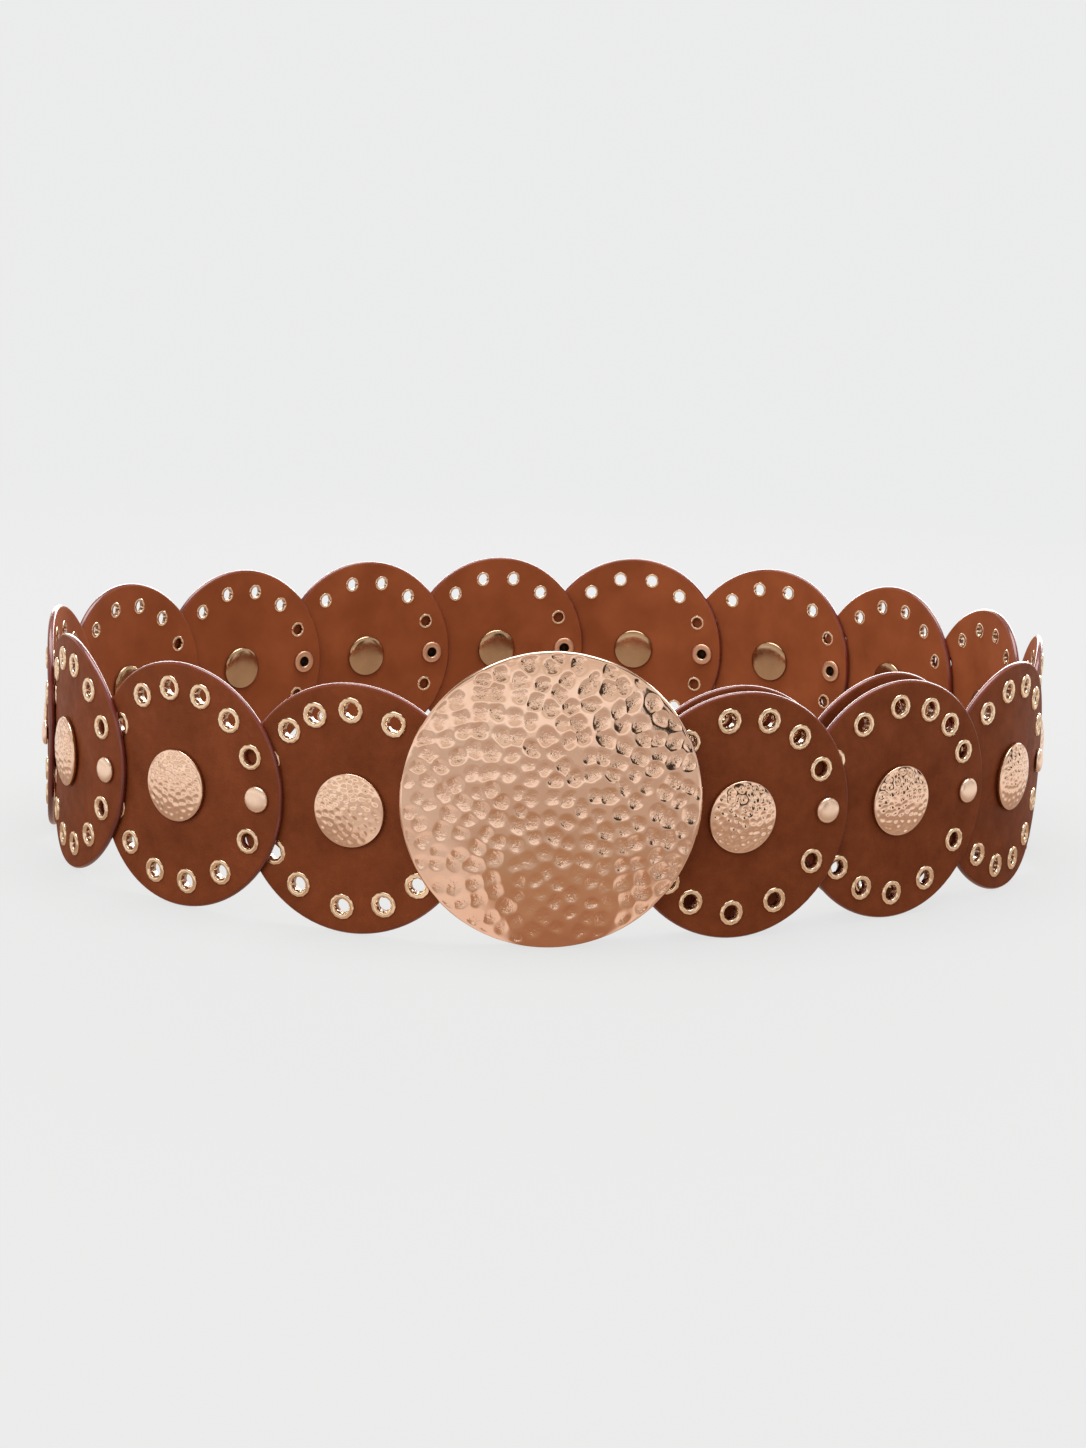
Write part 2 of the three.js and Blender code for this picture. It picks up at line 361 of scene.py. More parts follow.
# %% Inside leather and painted edge
tan = [(0.3, (0.255, 0.069, 0.024)), (0.5, (0.305, 0.084, 0.03)), (0.7, (0.355, 0.1, 0.037))]
wine_red = [(0.3, (0.11, 0.015, 0.0105)), (0.7, (0.18, 0.028, 0.02))]
pink_glint = (1, 0.72, 0.7, 1)


def make_leather_inside():
    material, tree, place = start_material("tan_flesh_side")
    drift = add_noise(tree, place, scale=60, detail=4.0)
    nap = add_noise(tree, place, scale=1400, detail=5.0, roughness=0.7)
    normal = add_bump(tree, nap, distance=0.07 * mm, strength=0.35)
    normal = add_bump(tree, drift, distance=0.6 * mm, strength=0.2, normal=normal)
    roughness = add_ramp(tree, nap, (0.3, 0.6), (0.7, 0.74))
    finish_material(tree, add_ramp(tree, drift, *tan), roughness, normal, Specular_IOR_Level=0.1)
    return material


def make_leather_edge():
    material, tree, place = start_material("burnished_edge")
    drift = add_noise(tree, place, scale=160)
    normal = add_bump(tree, add_noise(tree, place, scale=420), distance=0.15 * mm, strength=0.3)
    roughness = add_ramp(tree, drift, (0.3, 0.24), (0.7, 0.36))
    finish_material(tree, add_ramp(tree, drift, *wine_red), roughness, normal, Specular_IOR_Level=0.6,
                    Specular_Tint=pink_glint, Coat_Weight=0.75, Coat_Roughness=0.12)
    return material


leather_finishes = [make_leather_outside(), make_leather_inside(), make_leather_edge()]
print("leather finishes:", [material.name for material in leather_finishes])

# %% [markdown]
# All the metal is plated, so each finish is one metallic shader. They differ in tint and polish: the
# medallion is pale rose gold, the studs are a little warmer, the rivets are satin, and the eyelets are
# yellower. A slow noise drifts the tint. The large punch leaves fine crinkles in the medallion's dents, so
# there a bump follows an attribute of the mesh named struck. It is about 1 at the bottom of a dent and 0
# on the metal between.

# %% Metal finishes
crinkle_depth = 0.3 * mm
crinkle_strengths = [(0.2, 0.04), (0.8, 1.0)]


def make_metal(name, dark, light, rough, crinkled=False):
    """Plating between two tints and two roughnesses."""
    material, tree, place = start_material(name)
    colour = add_ramp(tree, add_noise(tree, place, scale=90), (0.3, dark), (0.7, light))
    wear = add_noise(tree, place, scale=700, detail=4.0, roughness=0.6)
    roughness = add_ramp(tree, wear, (0.35, rough[0]), (0.75, rough[1]))
    normal = add_bump(tree, add_noise(tree, place, scale=1900), distance=0.02 * mm, strength=0.12)
    if crinkled:
        struck = add_node(tree, "ShaderNodeAttribute", attribute_name="struck").outputs["Fac"]
        strength = add_ramp(tree, struck, *crinkle_strengths)
        crinkles = add_noise(tree, place, scale=1100, detail=2.0)
        normal = add_bump(tree, crinkles, crinkle_depth, strength, normal)
    finish_material(tree, colour, roughness, normal, Metallic=1.0)
    return material


medallion_plating = make_metal("rose_gold_medallion", (0.85, 0.59, 0.45), (0.9, 0.66, 0.52), (0.07, 0.14),
                               crinkled=True)
concho_plating = make_metal("rose_gold_studs", (0.87, 0.61, 0.46), (0.92, 0.68, 0.53), (0.08, 0.15))
concho_cap_metal = make_metal("satin_stud_caps", (0.44, 0.3, 0.18), (0.55, 0.38, 0.24), (0.16, 0.26))
rivet_plating = make_metal("satin_rivets", (0.95, 0.73, 0.58), (0.98, 0.79, 0.65), (0.28, 0.38))
rivet_ring_metal = make_metal("satin_rivet_rings", (0.72, 0.45, 0.31), (0.8, 0.52, 0.37), (0.36, 0.48))
# Painted shade: the rivet bores are painted near-black to stand for the shade deep inside each hollow
# rivet.
rivet_bore_painted_shade = make_metal("rivet_bores_painted_shade", (0.03, 0.018, 0.012), (0.06, 0.035, 0.022),
                              (0.5, 0.65))
eyelet_plating = make_metal("gold_eyelets", (0.88, 0.68, 0.48), (0.94, 0.76, 0.56), (0.13, 0.22))
print("last metal finish:", eyelet_plating.name)

# %% [markdown]
# Every piece ends in the same way: its bmesh becomes a mesh at the origin, its faces are shaded smooth,
# it takes its finishes and hangs under the root, and the solid of the frame that it replaces, if any, is
# hidden.

# %% From a bmesh to a finished piece
pieces = []


def numbered(name, disc):
    return f"{name}_{disc['number']:02d}"


def finish_piece(bm, name, materials, replaced=None):
    mesh = bpy.data.meshes.new(name)
    bm.to_mesh(mesh)
    bm.free()
    for polygon in mesh.polygons:
        polygon.use_smooth = True
    for material in materials:
        mesh.materials.append(material)
    piece = bpy.data.objects.new(name, mesh)
    bpy.context.scene.collection.objects.link(piece)
    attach(piece, "root")
    if replaced:
        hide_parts(replaced)
    pieces.append(piece)


print("pieces so far:", len(pieces))

# %% [markdown]
# The flat blank is one wedge, made fourteen times. The wedge is a grid laid out in polar steps. Round the
# hole its square rings of points are moved onto circles and the middle point is taken out, so the mesh
# runs cleanly round each hole and the leather can dip under the eyelet. Spinning copies of the wedge
# closes the disc. Then solidify gives the 2 mm thickness and bevel rounds the cut edge. A boolean cut
# would be quicker to write, but it leaves long thin faces that crease when the disc is bent.

# %% One flat punched blank
hole_radius = 2.35 * mm
eyelet_radius = 3.9 * mm
concho_radius = 11 * mm
edge_round = 0.9 * mm
middle_rows = [1.8, 6, 10.6, 12.6, 15.5, 19, 22.3]
cell_low, cell_high = 25 * mm, 34 * mm
cell_rings = [0, hole_radius, 3.1 * mm, eyelet_radius + gap]
cell_half = len(cell_rings)
rim_rows = [35.4, 36.4]
outside_face, inside_face, cut_edge = 0, 1, 2
touching = 0.01 * mm
rim_margin = 0.05 * mm
level_margin = 0.1 * mm
flat_enough = 0.95


def square_to_disc(x, y):
    """Concentric map of a square of half side 1 onto a unit disc."""
    eighth = math.pi / 4
    if x == 0 and y == 0:
        return Vector((0, 0, 0))
    if abs(x) > abs(y):
        return Vector((x * math.cos(eighth * y / x), x * math.sin(eighth * y / x), 0))
    return Vector((y * math.sin(eighth * x / y), y * math.cos(eighth * x / y), 0))


def wedge_radii():
    cell = [cell_low + (cell_high - cell_low) * step / (2 * cell_half) for step in range(2 * cell_half + 1)]
    return [r * mm for r in middle_rows] + cell + [r * mm for r in rim_rows] + [disc_radius]


def make_wedge():
    """One fourteenth of the blank, with its hole."""
    wedge = bmesh.new()
    radii = wedge_radii()
    last_row = len(radii) - 1
    columns = 2 * cell_half
    bmesh.ops.create_grid(wedge, x_segments=columns, y_segments=last_row, size=1)
    hole_row = len(middle_rows) + cell_half
    hole_centre = Vector((ring_radius, 0, 0))
    for vert in wedge.verts[:]:
        across = round(vert.co.x * cell_half)
        row = round((vert.co.y + 1) / 2 * last_row)
        outwards = row - hole_row
        ring = max(abs(across), abs(outwards))
        if ring == 0:
            wedge.verts.remove(vert)
        elif ring < cell_half:
            direction = square_to_disc(outwards / ring, across / ring)
            vert.co = hole_centre + direction * cell_rings[ring]
        else:
            angle = across / columns * place_angle
            vert.co = Vector((math.cos(angle), math.sin(angle), 0)) * radii[row]
    return wedge


def make_blank():
    """The whole disc, flat, 2 mm thick and with a rounded edge."""
    blank = make_wedge()
    everything = blank.verts[:] + blank.edges[:] + blank.faces[:]
    copies = ring_places - 1
    bmesh.ops.spin(blank, geom=everything, cent=(0, 0, 0), axis=(0, 0, 1), angle=place_angle * copies,
                   steps=copies, use_duplicate=True)
    bmesh.ops.remove_doubles(blank, verts=blank.verts, dist=touching)
    bmesh.ops.recalc_face_normals(blank, faces=blank.faces)
    bmesh.ops.solidify(blank, geom=blank.faces[:], thickness=leather)
    low = min(vert.co.z for vert in blank.verts)
    bmesh.ops.translate(blank, verts=blank.verts, vec=(0, 0, -leather / 2 - low))
    bmesh.ops.recalc_face_normals(blank, faces=blank.faces)
    on_rim = {vert for vert in blank.verts if vert.co.xy.length > disc_radius - rim_margin}
    rim = [edge for edge in blank.edges
           if set(edge.verts) <= on_rim and abs(edge.verts[0].co.z - edge.verts[1].co.z) < level_margin]
    bmesh.ops.bevel(blank, geom=rim, offset=edge_round, segments=4, profile=0.5, affect="EDGES",
                    material=-1)
    for face in blank.faces:
        face.material_index = cut_edge
        if face.normal.z > flat_enough:
            face.material_index = outside_face
        elif face.normal.z < -flat_enough:
            face.material_index = inside_face
    return blank


flat_blank = make_blank()
print("flat blank:", len(flat_blank.verts), "points,", len(flat_blank.faces), "faces")

# %% [markdown]
# Each disc is a copy of the blank. First the wedges are turned a few degrees to where that disc's holes
# were really punched, with the turn fading halfway to the next hole. Then the leather is pressed in a
# fifth of a millimetre under the stud and eyelets, and last every point is carried onto the loop, which
# bends the disc.

# %% Leather discs
press_depth = 0.2 * mm
press_reach = 1.6 * mm
steady_angle = math.radians(7)


def punch_turn(disc, angle):
    """How far a blank's point at this angle turns, so that its hole lands in its punched place."""
    spot = angle / place_angle
    place = math.floor(spot)
    offs = [hole_angle(disc, p % ring_places) - (p % ring_places) * place_angle for p in (place, place + 1)]
    share = smoothstep((spot - place) * place_angle, steady_angle, place_angle - steady_angle)
    return offs[0] + (offs[1] - offs[0]) * share


def press_at(disc, along, height):
    """Depth of the dip in the outside face at a point of the flat disc."""
    depth = 1 - smoothstep(math.hypot(along, height), concho_radius, concho_radius + press_reach)
    for place in range(ring_places):
        x, y = hole_place(disc, place)
        away = math.hypot(along - x, height - y)
        depth = max(depth, 1 - smoothstep(away, eyelet_radius, eyelet_radius + press_reach))
    return depth * press_depth


def make_leather_disc(disc):
    bm = flat_blank.copy()
    for vert in bm.verts:
        flat = vert.co.xy
        angle = math.atan2(flat.y, flat.x) % (2 * math.pi)
        angle += punch_turn(disc, angle)
        along, height = flat.length * math.cos(angle), flat.length * math.sin(angle)
        out = vert.co.z
        if out > leather / 2 - touching:
            out -= press_at(disc, along, height)
        vert.co = on_disc(disc, along, height, out)
    replaced = numbered("leather_disc", disc)
    finish_piece(bm, numbered("disc", disc), leather_finishes, replaced)


for disc in discs:
    make_leather_disc(disc)
flat_blank.free()
print("leather discs:", len(pieces))

# %% [markdown]
# Turned metal, such as an eyelet, a rivet or the shank of a stud, is a profile spun round its axis. The
# profile is a few corners, listed as distance from the axis and height. A full spin merges its seam,
# points on the axis are merged into one pole, and the normals are recalculated, because a spin can end
# inside out.

# %% Turned metal
merge_distance = 0.005 * mm


def turn_profile(bm, corners, sides, closed=False):
    """Spin corners (radius, height) in mm round Z and return the new points."""
    before = set(bm.verts)
    verts = [bm.verts.new((radius * mm, 0, height * mm)) for radius, height in corners]
    ends = verts[1:] + verts[:1] if closed else verts[1:]
    edges = [bm.edges.new(pair) for pair in zip(verts, ends)]
    bmesh.ops.spin(bm, geom=verts + edges, cent=(0, 0, 0), axis=(0, 0, 1), angle=2 * math.pi, steps=sides,
                   use_merge=True)
    made = [vert for vert in bm.verts if vert not in before]
    bmesh.ops.remove_doubles(bm, verts=made, dist=merge_distance)
    return [vert for vert in bm.verts if vert not in before]


def add_turned(bm, corners, sides, place, closed=False):
    made = turn_profile(bm, corners, sides, closed)
    bmesh.ops.transform(bm, verts=made, matrix=place)


print("points of a profile merge within", merge_distance / mm, "mm")

# %% [markdown]
# An eyelet is a short tube with a broad rounded flange outside and its other end rolled over inside. There
# are more than two hundred, so each is only six corners turned in twelve steps, and all those of one disc
# are one piece. Where a neighbour covers the leather the eyelet is hammered flat, and where one lies
# behind it the roll stops level with the leather.

# %% Eyelets
eyelet_sides = 12
open_flange = [(4.05, 0.75), (3.8, 1.42), (2.95, 1.62), (2.35, 0.95)]
flat_flange = [(4.05, 0.75), (3.75, 1.12), (2.9, 1.2), (2.35, 0.7)]
open_roll = [(2.2, -1.45), (2.95, -0.95)]
flat_roll = [(2.2, -1.15), (2.95, -0.95)]


def has_eyelet(disc, place):
    """All holes have one, apart from those that a rivet or the medallion's post fills."""
    filled_ahead = place == 0 and disc["number"] < disc_count
    return not filled_ahead and place != trailing_place


def make_eyelets(disc):
    bm = bmesh.new()
    for place in range(ring_places):
        if not has_eyelet(disc, place):
            continue
        under_neighbour = place in (trailing_place - 1, trailing_place + 1)
        over_neighbour = place in (1, ring_places - 1) and disc["number"] < disc_count
        flange = flat_flange if under_neighbour else open_flange
        roll = flat_roll if over_neighbour else open_roll
        along, height = hole_place(disc, place)
        add_turned(bm, flange + roll, eyelet_sides, place_on_disc(disc, along, height), closed=True)
    bmesh.ops.recalc_face_normals(bm, faces=bm.faces)
    finish_piece(bm, numbered("eyelets", disc), [eyelet_plating])


for disc in discs:
    make_eyelets(disc)
print("eyelets on", disc_count, "discs, faces on one disc:", len(pieces[-1].data.polygons))

# %% [markdown]
# The link rivets are tubular: a smooth, nearly flat cap outside, and inside a flat ring round a dark hole.
# One profile runs from the top of the cap, down the shank, round the ring and into the hole. The cap's
# heights are above the leather outside, and the ring's depths are below it inside. Each face then takes
# its finish from where it lies: the cap is pale, the ring coppery, and the hole is painted near-black as
# painted shade.

# %% Link rivets
rivet_face = (leather + gap / 2 + gap) / mm
rivet_sides = 28
rivet_cap = [(0, 1.62), (1.55, 1.55), (2.7, 1.38), (3.45, 1.12), (3.85, 0.75), (4, 0.3), (3.9, 0), (2.2, 0)]
rivet_ring = [(2.2, 0), (4.1, 0), (4.25, 0.2), (4.1, 0.55), (3.6, 0.75), (2.4, 0.75), (1.95, 0.45),
              (1.85, -2.1), (0, -2.2)]
rivet_corners = [(radius, rivet_face + height) for radius, height in rivet_cap]
rivet_corners += [(radius, -rivet_face - depth) for radius, depth in rivet_ring]
rivet_finishes = [rivet_plating, rivet_ring_metal, rivet_bore_painted_shade]
cap_finish, ring_finish, bore_finish = 0, 1, 2
bore_reach = 2.05 * mm


def make_rivet(disc):
    bm = bmesh.new()
    turn_profile(bm, rivet_corners, rivet_sides)
    bmesh.ops.recalc_face_normals(bm, faces=bm.faces)
    for face in bm.faces:
        centre = face.calc_center_median()
        if centre.z > 0:
            face.material_index = cap_finish
        elif centre.xy.length > bore_reach:
            face.material_index = ring_finish
        else:
            face.material_index = bore_finish
    bmesh.ops.transform(bm, verts=bm.verts, matrix=place_on_disc(disc, ring_radius, out=-stack / 2))
    replaced = numbered("link_rivet", disc)
    finish_piece(bm, numbered("rivet", disc), rivet_finishes, replaced)


for disc in discs[:-1]:
    make_rivet(disc)
print("rivets:", disc_count - 1)

# %% [markdown]
# Hammered metal is the belt's main ornament. The maker strikes a domed sheet with a small ball punch, one
# dent beside another but never in straight rows. Here each strike lands a golden turn on from the last one
# and a little further out, as seeds do in a sunflower, and then strays a little. That spaces them evenly
# with no rows. The dents are real geometry, because they are large enough to catch the light from every
# side. A square grid is pushed onto a round dome, which keeps its faces nearly even, and every point sinks
# by the dent that reaches it. A fine waver shifts each dent's outline, because no punch leaves a true
# circle, and a slow wave over the whole sheet bends its reflections, as beaten metal does. The waver's
# noise is given a seed, because Blender would start it from the clock.

# %% Hammered sheet
golden_turn = math.pi * (3 - math.sqrt(5))
smooth_lip = 0.4 * mm
lip_fade = 1.6 * mm
dent_wander = 0.11
dent_half_widths = (0.45, 0.58)
dent_stretches = (1.0, 1.18)
dent_strengths = (0.65, 1.2)
dent_steepness = 1.5
waver_seed = 1

noise.seed_set(waver_seed)


def strike_marks(radius, spacing, seed):
    """Place, long direction, half width, stretch and strength of every dent, as close as a honeycomb."""
    draw = random.Random(seed)
    count = round((radius / spacing) ** 2 * 2 * math.pi / math.sqrt(3))
    start = draw.uniform(0, 2 * math.pi)
    wander = dent_wander * spacing
    marks = []
    for number in range(count):
        away = radius * math.sqrt((number + 0.5) / count)
        angle = start + number * golden_turn
        stray = Vector((draw.gauss(0, wander), draw.gauss(0, wander), 0))
        place = Vector((math.cos(angle), math.sin(angle), 0)) * away + stray
        slant = draw.uniform(0, math.pi)
        long_way = Vector((math.cos(slant), math.sin(slant), 0))
        half_width = draw.uniform(*dent_half_widths) * spacing
        stretch = draw.uniform(*dent_stretches)
        strength = draw.uniform(*dent_strengths)
        marks.append((place, long_way, half_width, stretch, strength))
    return marks


def struck_at(spot, near, marks):
    """Depth of the deepest dent at a spot, from 0 to about 1."""
    deepest = 0.0
    for _, number, _ in near:
        place, long_way, half_width, stretch, strength = marks[number]
        offset = spot - place
        lengthwise = offset.dot(long_way)
        crosswise = offset.cross(long_way).z
        away = math.hypot(lengthwise / stretch, crosswise * stretch) / half_width
        if away < 1:
            deepest = max(deepest, strength * (1 - away * away) ** dent_steepness)
    return deepest


def make_hammered_dome(radius, steps, height_at, marks, depth, waver, wave):
    """A domed round sheet with its dents, facing +Z. Waver and wave are each a height and a length."""
    dome = bmesh.new()
    bmesh.ops.create_grid(dome, x_segments=steps, y_segments=steps, size=1)
    struck_layer = dome.verts.layers.float.new("struck")
    tree = kdtree.KDTree(len(marks))
    for number, mark in enumerate(marks):
        tree.insert(mark[0], number)
    tree.balance()
    reach = max(half_width * stretch for _, _, half_width, stretch, _ in marks)
    waver_height, waver_length = waver
    wave_height, wave_length = wave
    for vert in dome.verts:
        spot = square_to_disc(vert.co.x, vert.co.y) * radius
        inward = smoothstep(radius - spot.length, smooth_lip, lip_fade)
        shift = noise.noise_vector(spot / waver_length) * waver_height
        struck_spot = spot + Vector((shift.x, shift.y, 0))
        struck = struck_at(struck_spot, tree.find_range(struck_spot, reach), marks) * inward
        swell = noise.noise(spot / wave_length) * wave_height * inward
        vert.co = (spot.x, spot.y, height_at(spot.length) + swell - struck * depth)
        vert[struck_layer] = struck
    bmesh.ops.recalc_face_normals(dome, faces=dome.faces)
    if dome.faces[0].normal.z < 0:
        bmesh.ops.reverse_faces(dome, faces=dome.faces)
    return dome


print("golden turn:", round(math.degrees(golden_turn), 1), "degrees")

# %% [markdown]
# A concho is a hammered stud head with a short golden wall at its edge, a shank through the leather and a
# broad satin cap on the inside. The dome's open edge is extruded down to make the wall, and a face closes
# the back. Shank and cap are one turned profile, and the faces that it adds take the cap's finish.

# %% Conchos
concho_steps = 70
concho_edge = 1 * mm
concho_height = 3 * mm
concho_foot = leather / 2 + gap
concho_rim_round = 0.22 * mm
concho_dent_spacing = 2.55 * mm
concho_dent_depth = 0.3 * mm
concho_waver = (0.08 * mm, 1.0 * mm)
concho_wave = (0.08 * mm, 5 * mm)
concho_seed = 40
shank_sides = 32
shank_corners = [(0, 1.6), (1.5, 1.6), (1.5, -1.65), (7.8, -1.65), (7.95, -1.8), (7.85, -2.15), (7.4, -2.5),
                 (6.4, -2.8), (4.8, -3.0), (2.6, -3.1), (0, -3.13)]
concho_finishes = [concho_plating, concho_cap_metal, eyelet_plating]
inside_finish, wall_finish = 1, 2


def concho_dome(distance):
    share = min(distance / concho_radius, 1.0)
    return concho_edge + (concho_height - concho_edge) * (1 - share ** 2)


def make_concho(disc):
    marks = strike_marks(concho_radius, concho_dent_spacing, concho_seed + disc["number"])
    bm = make_hammered_dome(concho_radius, concho_steps, concho_dome, marks, concho_dent_depth,
                            concho_waver, concho_wave)
    rim = [edge for edge in bm.edges if edge.is_boundary]
    wall = bmesh.ops.extrude_edge_only(bm, edges=rim)["geom"]
    for item in wall:
        if isinstance(item, bmesh.types.BMVert):
            item.co.z = 0
        elif isinstance(item, bmesh.types.BMFace):
            item.material_index = wall_finish
    back = [edge for edge in bm.edges if edge.is_boundary]
    bmesh.ops.contextual_create(bm, geom=back)
    bmesh.ops.bevel(bm, geom=rim, offset=concho_rim_round, segments=2, profile=0.5, affect="EDGES",
                    material=-1)
    bmesh.ops.translate(bm, verts=bm.verts, vec=(0, 0, concho_foot))
    head = set(bm.faces)
    turn_profile(bm, shank_corners, shank_sides)
    for face in set(bm.faces) - head:
        face.material_index = inside_finish
    bmesh.ops.recalc_face_normals(bm, faces=bm.faces)
    bmesh.ops.transform(bm, verts=bm.verts, matrix=place_on_disc(disc, 0))
    replaced = numbered("concho", disc)
    finish_piece(bm, numbered("stud", disc), concho_finishes, replaced)


for disc in discs:
    make_concho(disc)
print("conchos:", disc_count, "with", len(pieces[-1].data.polygons), "faces each")

# %% [markdown]
# The medallion is the buckle: an 88 mm dished plate, hammered all over. It is made as the conchos are, but
# its sheet is solidified, so the dents show as bumps behind, as they do on thin beaten metal. Its rim is
# filed down a little, so a narrow smooth lip runs round the plate.

# %% Medallion plate
medallion_radius = 44 * mm
medallion_rise = 6 * mm
medallion_sheet = 1.6 * mm
medallion_set_back = 0.6 * mm
medallion_steps = 200
medallion_lip = 0.9 * mm
medallion_lip_fall = 0.45 * mm
medallion_dent_spacing = 5.7 * mm
medallion_dent_depth = 0.6 * mm
medallion_waver = (0.35 * mm, 2.2 * mm)
medallion_wave = (0.3 * mm, 14 * mm)
medallion_seed = 7


def medallion_dome(distance):
    return medallion_rise * (1 - (distance / medallion_radius) ** 2) + medallion_sheet


def place_of_medallion():
    point, along, outward = loop_frame(0)
    turn = Matrix((along, up, outward)).transposed().to_4x4()
    middle_point = point - outward * medallion_set_back
    middle_point.z = medallion_radius
    return Matrix.Translation(middle_point) @ turn


medallion_place = place_of_medallion()


def make_plate():
    marks = strike_marks(medallion_radius, medallion_dent_spacing, medallion_seed)
    plate = make_hammered_dome(medallion_radius, medallion_steps, medallion_dome, marks,
                               medallion_dent_depth, medallion_waver, medallion_wave)
    bmesh.ops.solidify(plate, geom=plate.faces[:], thickness=medallion_sheet)
    bmesh.ops.recalc_face_normals(plate, faces=plate.faces)
    for vert in plate.verts:
        past = vert.co.xy.length - (medallion_radius - medallion_lip)
        if past > 0 and vert.co.z > medallion_sheet / 2:
            vert.co.z -= medallion_lip_fall * (past / medallion_lip) ** 2
    bmesh.ops.transform(plate, verts=plate.verts, matrix=medallion_place)
    return plate


medallion = make_plate()
print("medallion plate:", len(medallion.faces), "faces")

# %% [markdown]
# Behind the plate two fastenings are soldered on. A post goes through the first disc and ends in a flat
# head. A hook drops into an eyelet of the tail, and its nose leans aside so that it can't slip out. Each
# is turned like a rivet, and its top end lies in the middle of the plate's sheet. Their profiles are in
# millimetres from the middle of the leather.

# %% Post and hook
hook_place = 5
hook_lean = 1.2 * mm
post_radius = 1.5
post_sides = 24
inner_face = (-leather / 2 - gap) / mm


def reach_to_plate(disc, along, height):
    """Millimetres from a disc's mid-layer to the middle of the plate's sheet."""
    local = medallion_place.inverted() @ on_disc(disc, along, height)
    return (medallion_dome(local.xy.length) - medallion_sheet / 2 - local.z) / mm


def add_post(bm):
    post = (-ring_radius, 0)
    top = reach_to_plate(discs[0], *post)
    corners = [(0, inner_face - 1), (3.2, inner_face - 1), (3.5, inner_face - 0.7), (3.5, inner_face),
               (post_radius, inner_face), (post_radius, top), (0, top)]
    add_turned(bm, corners, post_sides, place_on_disc(discs[0], *post))


def add_hook(bm):
    hooked = discs[discs_in_one_turn - 1]
    along, height = hole_place(hooked, hook_place)
    top = reach_to_plate(hooked, along, height)
    stem = [(0, inner_face - 0.8), (post_radius, inner_face - 0.8), (post_radius, top), (0, top)]
    nose = [(0, inner_face - 1.6), (1.6, inner_face - 1.6), (2, inner_face - 1.2), (2, inner_face - 0.3),
            (1.7, inner_face), (0, inner_face)]
    add_turned(bm, stem, post_sides, place_on_disc(hooked, along, height))
    add_turned(bm, nose, post_sides, place_on_disc(hooked, along + hook_lean, height))


add_post(medallion)
add_hook(medallion)
bmesh.ops.recalc_face_normals(medallion, faces=medallion.faces)
finish_piece(medallion, "medallion", [medallion_plating], "buckle_medallion")
print("medallion with post and hook:", len(pieces[-1].data.polygons), "faces")

# %% [markdown]
# The belt stands on a plain pale floor, and its metal mirrors that floor in warm tints. These are painted
# reflections: the floor glows in them for every ray but the camera's. Each list below gives them by their
# distance from the belt's middle, in metres. A wedge of the floor in front of the medallion is painted
# darker, a painted shadow of the medallion keeping the light off it. So are the floor inside the loop and a
# band at the foot of the discs beside the medallion, as painted shade.

# %% How metal mirrors the floor
mirrored_reach = 0.8
front_tints = [
    (0.157, (0.38, 0.19, 0.11)), (0.169, (0.45, 0.26, 0.16)), (0.19, (0.47, 0.29, 0.18)),
    (0.217, (0.48, 0.34, 0.24)), (0.25, (0.53, 0.4, 0.31)), (0.3, (0.6, 0.48, 0.4)),
    (0.54, (0.57, 0.46, 0.38)), (0.8, (0.74, 0.63, 0.56)),
]
left_tints = [
    (0.145, (0.42, 0.31, 0.24)), (0.157, (0.92, 0.75, 0.66)), (0.18, (0.9, 0.74, 0.65)),
    (0.21, (0.78, 0.66, 0.58)), (0.25, (0.68, 0.58, 0.51)), (0.37, (0.7, 0.61, 0.54)),
    (0.8, (0.7, 0.63, 0.57)),
]
right_tints = [
    (0.145, (0.42, 0.31, 0.24)), (0.157, (0.92, 0.75, 0.66)), (0.176, (0.88, 0.72, 0.62)),
    (0.19, (0.62, 0.48, 0.39)), (0.21, (0.48, 0.35, 0.27)), (0.245, (0.49, 0.36, 0.28)),
    (0.29, (0.58, 0.47, 0.4)), (0.37, (0.66, 0.57, 0.5)), (0.8, (0.7, 0.62, 0.56)),
]
outer_tints = [
    (0.157, (0.62, 0.47, 0.37)), (0.195, (0.45, 0.32, 0.24)), (0.23, (0.55, 0.43, 0.35)),
    (0.265, (0.9, 0.8, 0.73)), (0.37, (1.02, 0.94, 0.88)), (0.8, (0.98, 0.91, 0.86)),
]
wedge_tip = (0.0, -0.13, 0.0)
wedge_turn = math.radians(11)
wedge_half = (math.radians(25), math.radians(37))
outer_half = (math.radians(51), math.radians(59))


def add_reach_ramp(tree, distance, tints):
    """Colour from (metres from the origin, colour) stops."""
    share = add_range(tree, distance, 0, mirrored_reach)
    return add_ramp(tree, share, *[(reach / mirrored_reach, tint) for reach, tint in tints])


def add_math(tree, operation, *values):
    """Arithmetic on numbers or other nodes' outputs."""
    return add_node(tree, "ShaderNodeMath", dict(enumerate(values)), operation=operation).outputs["Value"]


def add_turn(tree, place):
    """Angle round the wedge's tip from straight ahead, positive towards the right."""
    from_tip = add_node(tree, "ShaderNodeVectorMath", {0: place, 1: wedge_tip}, operation="SUBTRACT")
    axes = add_node(tree, "ShaderNodeSeparateXYZ", {"Vector": from_tip.outputs["Vector"]}).outputs
    return add_math(tree, "ARCTAN2", axes["X"], add_math(tree, "MULTIPLY", axes["Y"], -1))


def add_beyond(tree, turn, middle_turn, half):
    """0 within the first angle of the middle turn and 1 beyond the second."""
    aside = add_math(tree, "ABSOLUTE", add_math(tree, "SUBTRACT", turn, middle_turn))
    return add_range(tree, aside, *half, "SMOOTHSTEP")


